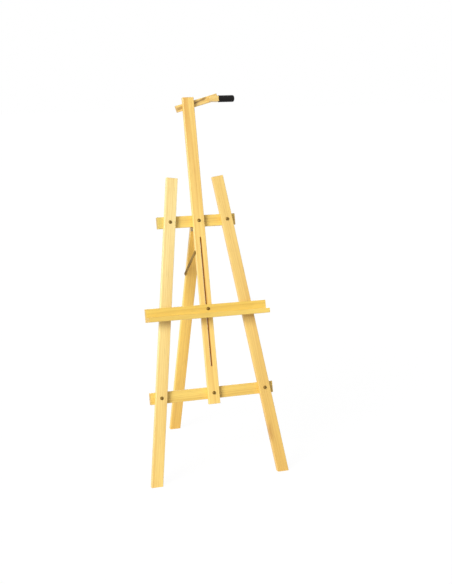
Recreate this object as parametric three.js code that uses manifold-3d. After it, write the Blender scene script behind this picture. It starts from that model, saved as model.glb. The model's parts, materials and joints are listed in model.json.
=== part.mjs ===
// A wooden artist easel: two splayed front legs and a slotted mast bolted to two crossbars,
// a sliding canvas shelf, a hinged rear leg with a steel stay, and a swinging arm at the mast's head.
// Units are millimetres. +X is the easel's right, +Y its back, +Z up. The origin is on the floor,
// under the middle of the easel's outline.

import * as THREE from 'three';
import { mergeVertices } from 'three/addons/utils/BufferGeometryUtils.js';
import Module from 'manifold-3d';

const wasm = await Module();
wasm.setup();

// Driving dimensions ------------------------------------------------------------------------

const seatGap = 0.3; // air between faces that touch, and around what passes through a hole
const railWidth = 50; // planed softwood for legs, mast, crossbars and rear leg
const railThickness = 20;
const railEdge = 2; // rounding of the long edges

const leanAngle = 15.5; // front frame from the vertical
const rearLegAngle = 18.6; // rear leg from the vertical, the other way

const legLength = 1303; // along the front frame, from the floor line to the top
const footHalfSpread = 285; // middle of each front foot from the centre line
const headHalfSpread = 102.7; // middle of each front leg's top from the centre line

const mastBottom = 323; // heights along the front frame
const mastTop = 1650;
const mastSlotBottom = 484;
const mastSlotTop = 1043;

const upperBarHeight = 1114;
const upperBarLength = 352;
const upperBarOffset = -4; // it reaches a little further to the left
const lowerBarHeight = 370;
const lowerBarLength = 554;

const frameThread = 8; // bolts of the frame and the arm's stud
const slotClearance = 0.6; // slots over the threads that slide in them
const frameBoltHead = 15;
const frameBoltHeadHeight = 4.5;
const frameNutWidth = 13;
const frameNutHeight = 6.5;
const frameWasherWidth = 18;
const frameWasherThickness = 1.6;
const threadEnd = 2; // thread left standing past a nut

const shelfLength = 540;
const shelfOffset = -6; // the shelf sits a little left of the mast
const shelfBottom = 693; // height of the ledge's underside along the front frame
const shelfBoardHeight = 57;
const shelfBoardThickness = 20;
const ledgeDepth = 46;
const ledgeThickness = 20;
const shelfScrewSpacing = 205;
const shelfScrewHead = 4; // radii and length of the shelf's countersunk screws
const shelfScrewShank = 2;
const shelfScrewLength = 40;
const shelfThread = 6;
const shelfBoltHead = 15;
const shelfBoltHeadHeight = 4;
const wingNutReach = 13; // bolt or stud past the seat of a full-size wing nut
const smallWingNut = 0.8; // size of the smaller wing nuts, as a share of the arm's
const wideWasherWidth = 24;

const hingeLength = 50;
const hingeWasherGap = 3.3; // from the upper leaf to the middle bolt's washer
const hingeLeafThickness = 1.5;
const hingeKnuckleRadius = 3;
const hingePinRadius = 1.5;
const hingeKnuckles = 5;
const hingeScrewSpacing = 17;
const hingeScrewGap = 1; // bare strip between the knuckles and the middle of the screws' plate
const smallScrewHead = 3.4; // radii and length of the hinge's countersunk screws
const smallScrewShank = 1.6;
const smallScrewLength = 15;
const screwRim = 0.3; // straight edge of a countersunk head

const stayWidth = 16;
const stayThickness = 2;
const stayPivotHeight = 978; // on the mast's left side, half way through its thickness
const stayLegDistance = 235; // from the hinge pin down the rear leg to the stay's runner
const stayRunnerDepth = 8.5; // runner's distance behind the rear leg's front face
const stayThread = 5;
const stayScrewHead = 5.5;
const stayScrewHeadHeight = 3;
const stayScrewLength = 16;
const stayWasherWidth = 12;
const stayWasherThickness = 1;
const foldAngle = 33.2; // how far the rear leg folds towards the frame

const armPivotHeight = 1617;
const armAngle = 15; // above the level
const armWidth = 29;
const armThickness = 18;
const armLeftReach = 51; // from the mast's stud to each end of the arm
const armRightReach = 146;
const armSlotLeft = 20; // from the stud to the middle of each slot end
const armSlotRight = 25;
const armStudDepth = 15; // how far the stud goes into the mast

const fingerReach = 109; // from the mast's stud to the finger's stud
const fingerDrop = 4.5; // below the arm's middle line
const fingerWidth = 24;
const fingerBarLength = 31; // from the finger's stud to the sleeve
const fingerThread = 6;
const fingerWasherWidth = 18;
const fingerWasherThickness = 1.2;
const fingerSpacerThickness = 3;
const fingerStudDepth = 16;
const tenonDiameter = 20;
const tenonLength = 63;
const sleeveDiameter = 30;
const sleeveLength = 72;

// Sizes that follow from them ---------------------------------------------------------------

const lean = THREE.MathUtils.degToRad(leanAngle);
const openAngle = THREE.MathUtils.degToRad(leanAngle + rearLegAngle);
const crossbarFront = railThickness + seatGap;
const crossbarBack = crossbarFront + railThickness;
const mastSlotWidth = shelfThread + slotClearance;
const pinDepth = crossbarBack + seatGap + hingeLeafThickness - hingeKnuckleRadius;
const pinHeight = upperBarHeight - railWidth / 2 - seatGap - hingeKnuckleRadius;
const hingeLeafDepth = upperBarHeight - frameWasherWidth / 2 - hingeWasherGap - pinHeight;
const hingeScrewInset = (hingeLeafDepth - hingeKnuckleRadius - hingeScrewGap) / 2;
const rearLegFront = hingeKnuckleRadius + seatGap;
const rearLegTop = -2; // below the hinge pin
const washerSeat = crossbarBack + seatGap;
const nutSeat = washerSeat + frameWasherThickness + seatGap;
const boltLength = seatGap + nutSeat + frameNutHeight + threadEnd;
const stayInner = -railWidth / 2 - seatGap * 2 - stayWasherThickness; // faces of the stay, across the easel
const stayOuter = stayInner - stayThickness - seatGap;
const stayHole = stayThread / 2 + seatGap;
const armTilt = THREE.MathUtils.degToRad(armAngle);
const armFront = railThickness + seatGap;
const armBack = armFront + armThickness;

// Materials ---------------------------------------------------------------------------------

function finish(color, roughness, metalness) {
  return new THREE.MeshStandardMaterial({ color, roughness, metalness, flatShading: true });
}

const paleWood = () => finish(0xf2cd78, 0.5, 0);
const honeyWood = () => finish(0xe9bb62, 0.5, 0);
const darkSteel = () => finish(0x4a3f33, 0.45, 0.8);
const zincSteel = () => finish(0x9a9890, 0.4, 0.9);
const blackRubber = () => finish(0x141212, 0.6, 0);

// Solids ------------------------------------------------------------------------------------

function toSolid(geometry) {
  const bare = geometry.clone();
  bare.deleteAttribute('normal');
  bare.deleteAttribute('uv');
  const merged = mergeVertices(bare, 1e-4);
  const corners = merged.index.array;
  const triVerts = [];
  for (let i = 0; i < corners.length; i += 3) {
    const [a, b, c] = [corners[i], corners[i + 1], corners[i + 2]];
    if (a !== b && b !== c && c !== a) triVerts.push(a, b, c);
  }
  return new wasm.Manifold(new wasm.Mesh({
    numProp: 3,
    vertProperties: Float32Array.from(merged.attributes.position.array),
    triVerts: Uint32Array.from(triVerts),
  }));
}

function toGeometry(solid) {
  const mesh = solid.getMesh();
  const geometry = new THREE.BufferGeometry();
  geometry.setAttribute('position', new THREE.BufferAttribute(mesh.vertProperties, 3));
  geometry.setIndex(new THREE.BufferAttribute(mesh.triVerts, 1));
  geometry.computeVertexNormals();
  return geometry;
}

function cut(geometry, cutters) {
  let solid = toSolid(geometry);
  for (const cutter of cutters) solid = solid.subtract(toSolid(cutter));
  return toGeometry(solid);
}

function join(geometries) {
  let solid = toSolid(geometries[0]);
  for (const geometry of geometries.slice(1)) solid = solid.add(toSolid(geometry));
  return toGeometry(solid);
}

// Cuts a piece with shapes given in its parent's axes.
function cutInPlace(mesh, cutters) {
  mesh.updateMatrix();
  const toPiece = mesh.matrix.clone().invert();
  mesh.geometry = cut(mesh.geometry, cutters.map((cutter) => cutter.clone().applyMatrix4(toPiece)));
}

function addPiece(group, name, geometry, material, position = [0, 0, 0], rotation = [0, 0, 0]) {
  const mesh = new THREE.Mesh(geometry, material);
  mesh.name = name;
  mesh.position.set(...position);
  mesh.rotation.set(...rotation);
  group.add(mesh);
  return mesh;
}

// A board with rounded long edges, its length along Z and its middle at the origin.
function board(width, thickness, length) {
  const [x, y, edge] = [width / 2, thickness / 2, railEdge];
  const section = new THREE.Shape();
  section.moveTo(-x + edge, -y);
  section.lineTo(x - edge, -y);
  section.absarc(x - edge, -y + edge, edge, -Math.PI / 2, 0);
  section.absarc(x - edge, y - edge, edge, 0, Math.PI / 2);
  section.absarc(-x + edge, y - edge, edge, Math.PI / 2, Math.PI);
  section.absarc(-x + edge, -y + edge, edge, Math.PI, Math.PI * 1.5);
  const geometry = new THREE.ExtrudeGeometry(section,
    { depth: length, bevelEnabled: false, curveSegments: 2 });
  return geometry.translate(0, 0, -length / 2);
}

// A slot with round ends, cut through along Y, between two points of the XZ plane.
function slotCutter(width, depth, from, to) {
  const [x, z] = [to[0] - from[0], to[1] - from[1]];
  const length = Math.hypot(x, z);
  const outline = new THREE.Shape();
  outline.absarc(0, 0, width / 2, Math.PI / 2, Math.PI * 1.5);
  outline.absarc(length, 0, width / 2, -Math.PI / 2, Math.PI / 2);
  const geometry = new THREE.ExtrudeGeometry(outline, { depth, bevelEnabled: false, curveSegments: 10 });
  geometry.translate(0, 0, -depth / 2).rotateX(Math.PI / 2);
  return geometry.rotateY(-Math.atan2(z, x)).translate(from[0], 0, from[1]);
}

// A turned solid about Y, from radius and height pairs that start and end on the axis.
function turned(profile, segments) {
  const points = profile.map(([radius, height]) => new THREE.Vector2(radius, height));
  return new THREE.LatheGeometry(points, segments);
}

function rod(radius, from, to, segments = 16) {
  const geometry = new THREE.CylinderGeometry(radius, radius, to - from, segments);
  return geometry.translate(0, (from + to) / 2, 0);
}

function washer(width, hole, thickness) {
  return cut(rod(width / 2, 0, thickness, 20), [rod(hole / 2 + seatGap, -1, thickness + 1)]);
}

function hexNut(width, height, thread) {
  const hexagon = new THREE.CylinderGeometry(width / Math.sqrt(3), width / Math.sqrt(3), height, 6);
  hexagon.translate(0, height / 2, 0);
  return cut(hexagon, [rod(thread / 2 + seatGap, -1, height + 1)]);
}

// A round-headed bolt: the underside of its head at height 0, its shank towards +Y.
function domeBolt(headWidth, headHeight, thread, length) {
  const [head, shank] = [headWidth / 2, thread / 2];
  return turned([
    [0, -headHeight], [head * 0.5, -headHeight * 0.85], [head * 0.85, -headHeight * 0.45], [head, 0],
    [shank, 0], [shank, length - 1], [shank - 1, length], [0, length],
  ], 16);
}

function stud(thread, length) {
  const shank = thread / 2;
  return turned([
    [0, 0], [shank - 1, 0], [shank, 1], [shank, length - 1], [shank - 1, length], [0, length],
  ], 16);
}

// A wing nut: base at height 0, its two wings along X, rising towards +Y.
function wingNut(thread, scale = 1) {
  const wing = new THREE.Shape();
  wing.moveTo(4, 1);
  wing.lineTo(9, 1);
  wing.quadraticCurveTo(16.5, 2, 19, 9.5);
  wing.quadraticCurveTo(20.5, 16, 16, 16.5);
  wing.quadraticCurveTo(12.5, 16.5, 10.5, 11.5);
  wing.quadraticCurveTo(8.5, 8.5, 4, 8.5);
  const rightWing = new THREE.ExtrudeGeometry(wing, { depth: 3, bevelEnabled: false, curveSegments: 3 });
  rightWing.translate(0, 0, -1.5);
  const leftWing = rightWing.clone().rotateY(Math.PI);
  const boss = turned([[0, 0], [8, 0], [8, 1.5], [6.4, 9], [0, 9]], 16);
  const body = join([boss, rightWing, leftWing]).scale(scale, scale, scale);
  return cut(body, [rod(thread / 2 + seatGap, -1, 12)]);
}

// A countersunk wood screw: the flat of its head at height 0, its tip towards -Y.
function woodScrew(head, shank, length, above = 0) {
  return turned([
    [0, -length], [shank, -length + 3], [shank, shank - head - screwRim],
    [head, -screwRim], [head, above], [0, above],
  ], 16);
}

// The hole that such a screw sits in.
function screwHole(head, shank, length) {
  return woodScrew(head + seatGap, shank + seatGap, length + seatGap, 1);
}

// A round-headed wood screw: the underside of its head at height 0, its tip towards -Y.
function roundScrew(head, headHeight, shank, length) {
  return turned([
    [0, -length], [shank, -length + 3], [shank, 0], [head, 0], [head * 0.95, headHeight * 0.45],
    [head * 0.6, headHeight * 0.88], [0, headHeight],
  ], 16);
}

// The floor as a block, in the axes of something that stands on it.
function floorBlock(matrix) {
  const block = new THREE.BoxGeometry(3000, 3000, 400).translate(0, 0, -200);
  return block.applyMatrix4(matrix.clone().invert());
}

// Groups ------------------------------------------------------------------------------------

const easel = new THREE.Group();
const frontFrame = new THREE.Group(); // x across, y behind the front faces, z up the frame
frontFrame.rotation.x = -lean;
frontFrame.updateMatrix();
easel.add(frontFrame);

const rearFrame = new THREE.Group(); // the same axes turned to the rear leg, from the hinge pin
rearFrame.position.set(0, pinDepth, pinHeight);
rearFrame.rotation.x = openAngle;
rearFrame.updateMatrix();
frontFrame.add(rearFrame);

// Front frame -------------------------------------------------------------------------------

function legCentre(height) {
  return footHalfSpread + (headHalfSpread - footHalfSpread) * (height / legLength);
}

function boltHole(x, height) {
  return rod(frameThread / 2 + seatGap, -10, crossbarBack + 10).translate(x, 0, height);
}

const barHeights = { upper: upperBarHeight, lower: lowerBarHeight };
const barLengths = { upper: upperBarLength, lower: lowerBarLength };
const barOffsets = { upper: upperBarOffset, lower: 0 };

function addFrontLeg(name, side) {
  const tilt = Math.atan2(footHalfSpread - headHalfSpread, legLength);
  const spare = railWidth; // wood below the floor line, cut off flat
  const length = legLength / Math.cos(tilt) + spare;
  const middle = legLength - (length / 2) * Math.cos(tilt);
  const leg = addPiece(frontFrame, name, board(railWidth, railThickness, length), paleWood(),
    [side * legCentre(middle), railThickness / 2, middle], [0, -side * tilt, 0]);
  const holes = Object.values(barHeights).map((height) => boltHole(side * legCentre(height), height));
  cutInPlace(leg, [...holes, floorBlock(frontFrame.matrix)]);
}

addFrontLeg('left_leg', -1);
addFrontLeg('right_leg', 1);

const mast = addPiece(frontFrame, 'mast', board(railWidth, railThickness, mastTop - mastBottom), paleWood(),
  [0, railThickness / 2, (mastTop + mastBottom) / 2]);
cutInPlace(mast, [
  ...Object.values(barHeights).map((height) => boltHole(0, height)),
  slotCutter(mastSlotWidth, railThickness * 3,
    [0, mastSlotBottom + mastSlotWidth / 2], [0, mastSlotTop - mastSlotWidth / 2]),
  rod(frameThread / 2 + seatGap, railThickness - armStudDepth - seatGap, railThickness + 5)
    .translate(0, 0, armPivotHeight),
  rod(stayHole, -stayOuter - stayScrewLength - seatGap, railWidth).rotateZ(Math.PI / 2)
    .translate(0, railThickness / 2, stayPivotHeight),
]);

const smallScrew = [smallScrewHead, smallScrewShank, smallScrewLength];
const hingeScrews = { left: -hingeScrewSpacing, right: hingeScrewSpacing };

function inUpperLeaf(screw, x) {
  return screw.translate(x, pinDepth + hingeKnuckleRadius, pinHeight + hingeLeafDepth - hingeScrewInset);
}

function inLowerLeaf(screw, x) {
  const depth = hingeKnuckleRadius - hingeLeafThickness;
  return screw.rotateX(Math.PI).translate(x, depth, hingeScrewInset - hingeLeafDepth);
}

for (const [level, height] of Object.entries(barHeights)) {
  const bar = addPiece(frontFrame, `${level}_crossbar`, board(railWidth, railThickness, barLengths[level]),
    honeyWood(), [barOffsets[level], crossbarFront + railThickness / 2, height], [0, Math.PI / 2, 0]);
  const places = { left: -legCentre(height), middle: 0, right: legCentre(height) };
  const holes = Object.values(places).map((x) => boltHole(x, height));
  if (level === 'upper') {
    for (const x of Object.values(hingeScrews)) holes.push(inUpperLeaf(screwHole(...smallScrew), x));
  }
  cutInPlace(bar, holes);

  for (const [place, x] of Object.entries(places)) {
    addPiece(frontFrame, `${level}_${place}_bolt`,
      domeBolt(frameBoltHead, frameBoltHeadHeight, frameThread, boltLength), darkSteel(),
      [x, -seatGap, height]);
    addPiece(frontFrame, `${level}_${place}_washer`,
      washer(frameWasherWidth, frameThread, frameWasherThickness), zincSteel(), [x, washerSeat, height]);
    addPiece(frontFrame, `${level}_${place}_nut`,
      hexNut(frameNutWidth, frameNutHeight, frameThread), zincSteel(), [x, nutSeat, height]);
  }
}

// Rear leg and its hinge --------------------------------------------------------------------

// One hinge leaf about a pin along X: its plate hangs towards -Z, flush with the knuckles' +Y side.
function hingeLeaf(ownsEven) {
  const step = hingeLength / hingeKnuckles;
  const plateTop = -hingeKnuckleRadius - 0.6;
  const plate = new THREE.BoxGeometry(hingeLength, hingeLeafThickness, hingeLeafDepth + plateTop);
  const plateDepth = hingeKnuckleRadius - hingeLeafThickness / 2;
  const parts = [plate.translate(0, plateDepth, (plateTop - hingeLeafDepth) / 2)];
  for (let i = 0; i < hingeKnuckles; i += 1) {
    if ((i % 2 === 0) !== ownsEven) continue;
    const x = -hingeLength / 2 + step * (i + 0.5);
    const width = step - seatGap;
    parts.push(rod(hingeKnuckleRadius, -width / 2, width / 2).rotateZ(Math.PI / 2).translate(x, 0, 0));
    const tab = new THREE.BoxGeometry(width, hingeLeafThickness, -plateTop + 1);
    parts.push(tab.translate(x, plateDepth, (plateTop - 1) / 2));
  }
  const bore = rod(hingePinRadius + seatGap, -hingeLength, hingeLength).rotateZ(Math.PI / 2);
  return cut(join(parts), [bore]);
}

const upperLeaf = addPiece(frontFrame, 'hinge_upper_leaf', hingeLeaf(true).rotateY(Math.PI), zincSteel(),
  [0, pinDepth, pinHeight]);
const lowerLeaf = addPiece(rearFrame, 'hinge_lower_leaf', hingeLeaf(false), zincSteel());
addPiece(frontFrame, 'hinge_pin', rod(hingePinRadius, -hingeLength / 2, hingeLength / 2).rotateZ(Math.PI / 2),
  zincSteel(), [0, pinDepth, pinHeight]);

const rearLegDrop = (pinHeight * Math.cos(lean) - pinDepth * Math.sin(lean)) / Math.cos(openAngle - lean);
const rearLegLength = rearLegDrop + railWidth; // from just under the pin, with wood to cut at the floor
const rearLeg = addPiece(rearFrame, 'rear_leg', board(railWidth, railThickness, rearLegLength), honeyWood(),
  [0, rearLegFront + railThickness / 2, rearLegTop - rearLegLength / 2]);
const rearMatrix = frontFrame.matrix.clone().multiply(rearFrame.matrix);
cutInPlace(rearLeg, [
  floorBlock(rearMatrix),
  ...Object.values(hingeScrews).map((x) => inLowerLeaf(screwHole(...smallScrew), x)),
]);

const upperLeafHoles = Object.values(hingeScrews).map((x) => inUpperLeaf(screwHole(...smallScrew), x));
const lowerLeafHoles = Object.values(hingeScrews).map((x) => inLowerLeaf(screwHole(...smallScrew), x));
cutInPlace(upperLeaf, upperLeafHoles);
cutInPlace(lowerLeaf, lowerLeafHoles);
for (const [place, x] of Object.entries(hingeScrews)) {
  addPiece(frontFrame, `hinge_upper_${place}_screw`, inUpperLeaf(woodScrew(...smallScrew), x), zincSteel());
  addPiece(rearFrame, `hinge_lower_${place}_screw`, inLowerLeaf(woodScrew(...smallScrew), x), zincSteel());
}

// Stay --------------------------------------------------------------------------------------

// The runner's place in the front frame's YZ plane with the leg opened by an angle from the frame.
function runnerAt(angle) {
  const behind = rearLegFront + stayRunnerDepth;
  return new THREE.Vector2(
    pinDepth + behind * Math.cos(angle) + stayLegDistance * Math.sin(angle),
    pinHeight + behind * Math.sin(angle) - stayLegDistance * Math.cos(angle),
  );
}

const stayPivot = new THREE.Vector2(railThickness / 2, stayPivotHeight);
const openRunner = runnerAt(openAngle).sub(stayPivot);
const foldedRunner = runnerAt(openAngle - THREE.MathUtils.degToRad(foldAngle)).sub(stayPivot);
const stayAngle = Math.atan2(openRunner.y, openRunner.x);
const stayReach = openRunner.length();

// The stay lies in the YZ plane: pivot at the origin, its length along +Y, thickness towards -X.
function stayPlate() {
  const half = stayWidth / 2;
  const outline = new THREE.Shape();
  outline.absarc(0, 0, half, Math.PI / 2, Math.PI * 1.5);
  outline.absarc(stayReach, 0, half, -Math.PI / 2, Math.PI / 2);
  const hole = new THREE.Path();
  hole.absarc(0, 0, stayHole, 0, Math.PI * 2, true);
  const slot = new THREE.Path();
  slot.absarc(foldedRunner.length() - 1, 0, stayHole, Math.PI * 1.5, Math.PI / 2, true);
  slot.absarc(stayReach, 0, stayHole, Math.PI / 2, -Math.PI / 2, true);
  outline.holes.push(hole, slot);
  const plate = new THREE.ExtrudeGeometry(outline,
    { depth: stayThickness, bevelEnabled: false, curveSegments: 10 });
  const axes = new THREE.Matrix4().makeBasis(
    new THREE.Vector3(0, 1, 0), new THREE.Vector3(0, 0, 1), new THREE.Vector3(1, 0, 0));
  return toGeometry(toSolid(plate.applyMatrix4(axes).translate(-stayThickness, 0, 0)));
}

const alongX = [0, 0, Math.PI / 2]; // turns a shape about Y to point to the left
addPiece(frontFrame, 'stay_arm', stayPlate(), darkSteel(),
  [stayInner, stayPivot.x, stayPivot.y], [stayAngle, 0, 0]);
const pivotScrew = roundScrew(stayScrewHead, stayScrewHeadHeight, stayThread / 2, stayScrewLength);
addPiece(frontFrame, 'stay_pivot_screw', pivotScrew, zincSteel(),
  [stayOuter, stayPivot.x, stayPivot.y], alongX);
addPiece(frontFrame, 'stay_pivot_washer', washer(stayWasherWidth, stayThread, stayWasherThickness),
  zincSteel(), [-railWidth / 2 - seatGap, stayPivot.x, stayPivot.y], alongX);

// The runner's shank stops just short of the rear leg, whose hinge carries the leg's weight.
const runner = runnerAt(openAngle);
const runnerShank = -railWidth / 2 - seatGap - stayOuter;
addPiece(frontFrame, 'stay_runner_screw', turned([
  [0, -runnerShank], [stayThread / 2, -runnerShank], [stayThread / 2, 0], [stayScrewHead, 0],
  [stayScrewHead * 0.95, stayScrewHeadHeight * 0.45], [stayScrewHead * 0.6, stayScrewHeadHeight * 0.88],
  [0, stayScrewHeadHeight],
], 16), zincSteel(), [stayOuter, runner.x, runner.y], alongX);
addPiece(frontFrame, 'stay_runner_washer', washer(stayWasherWidth, stayThread, stayWasherThickness),
  zincSteel(), [-railWidth / 2 - seatGap, runner.x, runner.y], alongX);

// Canvas shelf ------------------------------------------------------------------------------

const shelfBolt = shelfBottom + (ledgeThickness + shelfBoardHeight) / 2; // middle of the bare board
const boardBack = -seatGap;
const boardFront = boardBack - shelfBoardThickness;
const ledgeBack = boardFront - seatGap;
const screwHeight = shelfBottom + ledgeThickness / 2;

const shelfScrew = [shelfScrewHead, shelfScrewShank, shelfScrewLength];
const shelfScrews = { left: -shelfScrewSpacing, middle: 0, right: shelfScrewSpacing };

function inShelf(screw, x) {
  return screw.translate(shelfOffset + x, boardBack - seatGap, screwHeight);
}

const shelfScrewHoles = Object.values(shelfScrews).map((x) => inShelf(screwHole(...shelfScrew), x));
const backBoard = addPiece(frontFrame, 'shelf_back_board',
  board(shelfBoardHeight, shelfBoardThickness, shelfLength), honeyWood(),
  [shelfOffset, (boardFront + boardBack) / 2, shelfBottom + shelfBoardHeight / 2], [0, Math.PI / 2, 0]);
const shelfBoltHole = rod(shelfThread / 2 + seatGap, boardFront - 5, 5).translate(0, 0, shelfBolt);
cutInPlace(backBoard, [...shelfScrewHoles, shelfBoltHole]);
const ledge = addPiece(frontFrame, 'shelf_ledge', board(ledgeThickness, ledgeDepth, shelfLength), honeyWood(),
  [shelfOffset, ledgeBack - ledgeDepth / 2, shelfBottom + ledgeThickness / 2], [0, Math.PI / 2, 0]);
cutInPlace(ledge, shelfScrewHoles);
for (const [place, x] of Object.entries(shelfScrews)) {
  addPiece(frontFrame, `shelf_${place}_screw`, inShelf(woodScrew(...shelfScrew), x), zincSteel());
}

const shelfWasherSeat = railThickness + seatGap;
const shelfNutSeat = shelfWasherSeat + frameWasherThickness + seatGap;
const shelfBoltLength = shelfNutSeat + wingNutReach * smallWingNut - (boardFront - seatGap);
addPiece(frontFrame, 'shelf_bolt', domeBolt(shelfBoltHead, shelfBoltHeadHeight, shelfThread, shelfBoltLength),
  darkSteel(), [0, boardFront - seatGap, shelfBolt]);
addPiece(frontFrame, 'shelf_washer', washer(wideWasherWidth, shelfThread, frameWasherThickness), zincSteel(),
  [0, shelfWasherSeat, shelfBolt]);
addPiece(frontFrame, 'shelf_wing_nut', wingNut(shelfThread, smallWingNut), zincSteel(),
  [0, shelfNutSeat, shelfBolt]);

// Arm at the mast's head --------------------------------------------------------------------

function alongArm(reach, drop = 0) {
  const [across, up] = [Math.cos(armTilt), Math.sin(armTilt)];
  return [reach * across + drop * up, armPivotHeight + reach * up - drop * across];
}

const [armMiddleX, armMiddleZ] = alongArm((armRightReach - armLeftReach) / 2);
const topArm = addPiece(frontFrame, 'top_arm', board(armWidth, armThickness, armLeftReach + armRightReach),
  honeyWood(), [armMiddleX, armFront + armThickness / 2, armMiddleZ], [0, Math.PI / 2 - armTilt, 0]);
const [fingerX, fingerZ] = alongArm(fingerReach, fingerDrop);
cutInPlace(topArm, [
  slotCutter(frameThread + slotClearance, 150, alongArm(-armSlotLeft), alongArm(armSlotRight)),
  rod(fingerThread / 2 + seatGap, armFront - 5, armBack + 5).translate(fingerX, 0, fingerZ),
]);

const armWasherSeat = armBack + seatGap;
const armNutSeat = armWasherSeat + frameWasherThickness + seatGap;
const armStudLength = armNutSeat + wingNutReach - railThickness + armStudDepth;
addPiece(frontFrame, 'arm_stud', stud(frameThread, armStudLength), zincSteel(),
  [0, railThickness - armStudDepth, armPivotHeight]);
addPiece(frontFrame, 'arm_washer', washer(wideWasherWidth, frameThread, frameWasherThickness), zincSteel(),
  [0, armWasherSeat, armPivotHeight]);
addPiece(frontFrame, 'arm_wing_nut', wingNut(frameThread), zincSteel(), [0, armNutSeat, armPivotHeight],
  [0, THREE.MathUtils.degToRad(57), 0]);

// The finger lies level across the arm's front, with a spacer that lets its sleeve pass the arm.
const spacerSeat = armFront - seatGap - fingerSpacerThickness;
const fingerBack = spacerSeat - seatGap;
const fingerAxis = fingerBack - fingerWidth / 2;
const sleeveStart = fingerBarLength + seatGap;

function fingerShape() {
  const half = fingerWidth / 2;
  const outline = new THREE.Shape();
  outline.absarc(0, 0, half, Math.PI / 2, Math.PI * 1.5);
  outline.lineTo(fingerBarLength, -half);
  outline.lineTo(fingerBarLength, half);
  const bar = new THREE.ExtrudeGeometry(outline,
    { depth: fingerWidth, bevelEnabled: false, curveSegments: 10 });
  bar.translate(0, 0, -half).rotateX(Math.PI / 2);
  const tenon = rod(tenonDiameter / 2, 0, fingerBarLength / 2 + tenonLength, 24).rotateZ(-Math.PI / 2);
  const hole = rod(fingerThread / 2 + seatGap, half - fingerStudDepth - seatGap, half + 5);
  return cut(join([bar, tenon.translate(fingerBarLength / 2, 0, 0)]), [hole]);
}

// The sleeve about Y, open at its start and closed by a rounded end.
function sleeveShape() {
  const outer = sleeveDiameter / 2;
  const skin = turned([
    [0, 0], [outer - 1.5, 0], [outer, 1.5], [outer, sleeveLength - 5],
    [outer - 1.4, sleeveLength - 1.6], [outer - 4.5, sleeveLength], [0, sleeveLength],
  ], 28);
  return cut(skin, [rod(tenonDiameter / 2 + seatGap, -1, tenonLength + seatGap, 24)]);
}

addPiece(frontFrame, 'finger_bar', fingerShape(), honeyWood(), [fingerX, fingerAxis, fingerZ]);
addPiece(frontFrame, 'rubber_sleeve', sleeveShape().rotateZ(-Math.PI / 2), blackRubber(),
  [fingerX + sleeveStart, fingerAxis, fingerZ]);
const fingerNutSeat = armBack + seatGap + fingerWasherThickness + seatGap;
const fingerStudLength = fingerNutSeat + wingNutReach * smallWingNut - fingerBack + fingerStudDepth;
addPiece(frontFrame, 'finger_stud', stud(fingerThread, fingerStudLength), zincSteel(),
  [fingerX, fingerBack - fingerStudDepth, fingerZ]);
addPiece(frontFrame, 'finger_spacer', washer(fingerWasherWidth, fingerThread, fingerSpacerThickness),
  zincSteel(), [fingerX, spacerSeat, fingerZ]);
addPiece(frontFrame, 'finger_washer', washer(fingerWasherWidth, fingerThread, fingerWasherThickness),
  zincSteel(), [fingerX, armBack + seatGap, fingerZ]);
addPiece(frontFrame, 'finger_wing_nut', wingNut(fingerThread, smallWingNut), zincSteel(),
  [fingerX, fingerNutSeat, fingerZ], [0, THREE.MathUtils.degToRad(-20), 0]);

// The origin goes under the middle of the outline, half way from the front feet to the rear foot's back.
const pinY = pinHeight * Math.sin(lean) + pinDepth * Math.cos(lean);
const pinZ = pinHeight * Math.cos(lean) - pinDepth * Math.sin(lean);
const rearTilt = openAngle - lean;
const backFace = rearLegFront + railThickness;
const rearFootBack = pinY + backFace / Math.cos(rearTilt) + pinZ * Math.tan(rearTilt);
frontFrame.position.y = -rearFootBack / 2;

export default easel;
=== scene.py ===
import json
import math

import bmesh
import bpy
from mathutils import Matrix, Vector


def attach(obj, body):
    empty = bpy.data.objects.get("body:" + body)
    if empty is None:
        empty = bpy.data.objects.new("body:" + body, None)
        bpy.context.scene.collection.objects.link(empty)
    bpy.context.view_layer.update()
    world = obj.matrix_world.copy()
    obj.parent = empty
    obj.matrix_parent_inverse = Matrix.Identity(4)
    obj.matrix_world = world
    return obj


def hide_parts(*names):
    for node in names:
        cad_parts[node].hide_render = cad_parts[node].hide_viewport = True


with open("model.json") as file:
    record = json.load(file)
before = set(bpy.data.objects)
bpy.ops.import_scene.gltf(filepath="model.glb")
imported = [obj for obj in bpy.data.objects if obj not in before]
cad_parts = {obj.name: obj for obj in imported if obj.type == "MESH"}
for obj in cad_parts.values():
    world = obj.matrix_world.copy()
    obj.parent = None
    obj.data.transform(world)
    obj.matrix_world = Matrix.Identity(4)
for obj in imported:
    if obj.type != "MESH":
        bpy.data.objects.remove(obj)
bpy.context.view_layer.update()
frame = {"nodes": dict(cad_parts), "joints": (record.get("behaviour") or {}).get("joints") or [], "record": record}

# every length here is in metres
cadNodes = frame["nodes"]
joints = {joint["name"]: joint for joint in frame["joints"]}
bodyOf = {node: body for body, nodes in frame["record"]["behaviour"]["bodies"].items() for node in nodes}

across = Vector((1, 0, 0))
upFrame = Vector(joints["shelf_slide"]["axis"]).normalized()  # up the leaning front frame
backFrame = Vector(joints["shelf_wing_nut_turn"]["axis"]).normalized()  # out of its back

def deselectAll():
    if bpy.context.object and bpy.context.object.mode != "OBJECT":
        bpy.ops.object.mode_set(mode="OBJECT")
    bpy.ops.object.select_all(action="DESELECT")

def choose(piece):
    deselectAll()
    piece.select_set(True)
    bpy.context.view_layer.objects.active = piece

# opens a piece's mesh for editing with all of it selected, or none
def startEditing(piece, selection="DESELECT"):
    choose(piece)
    bpy.ops.object.mode_set(mode="EDIT")
    bpy.ops.mesh.select_all(action=selection)

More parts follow.
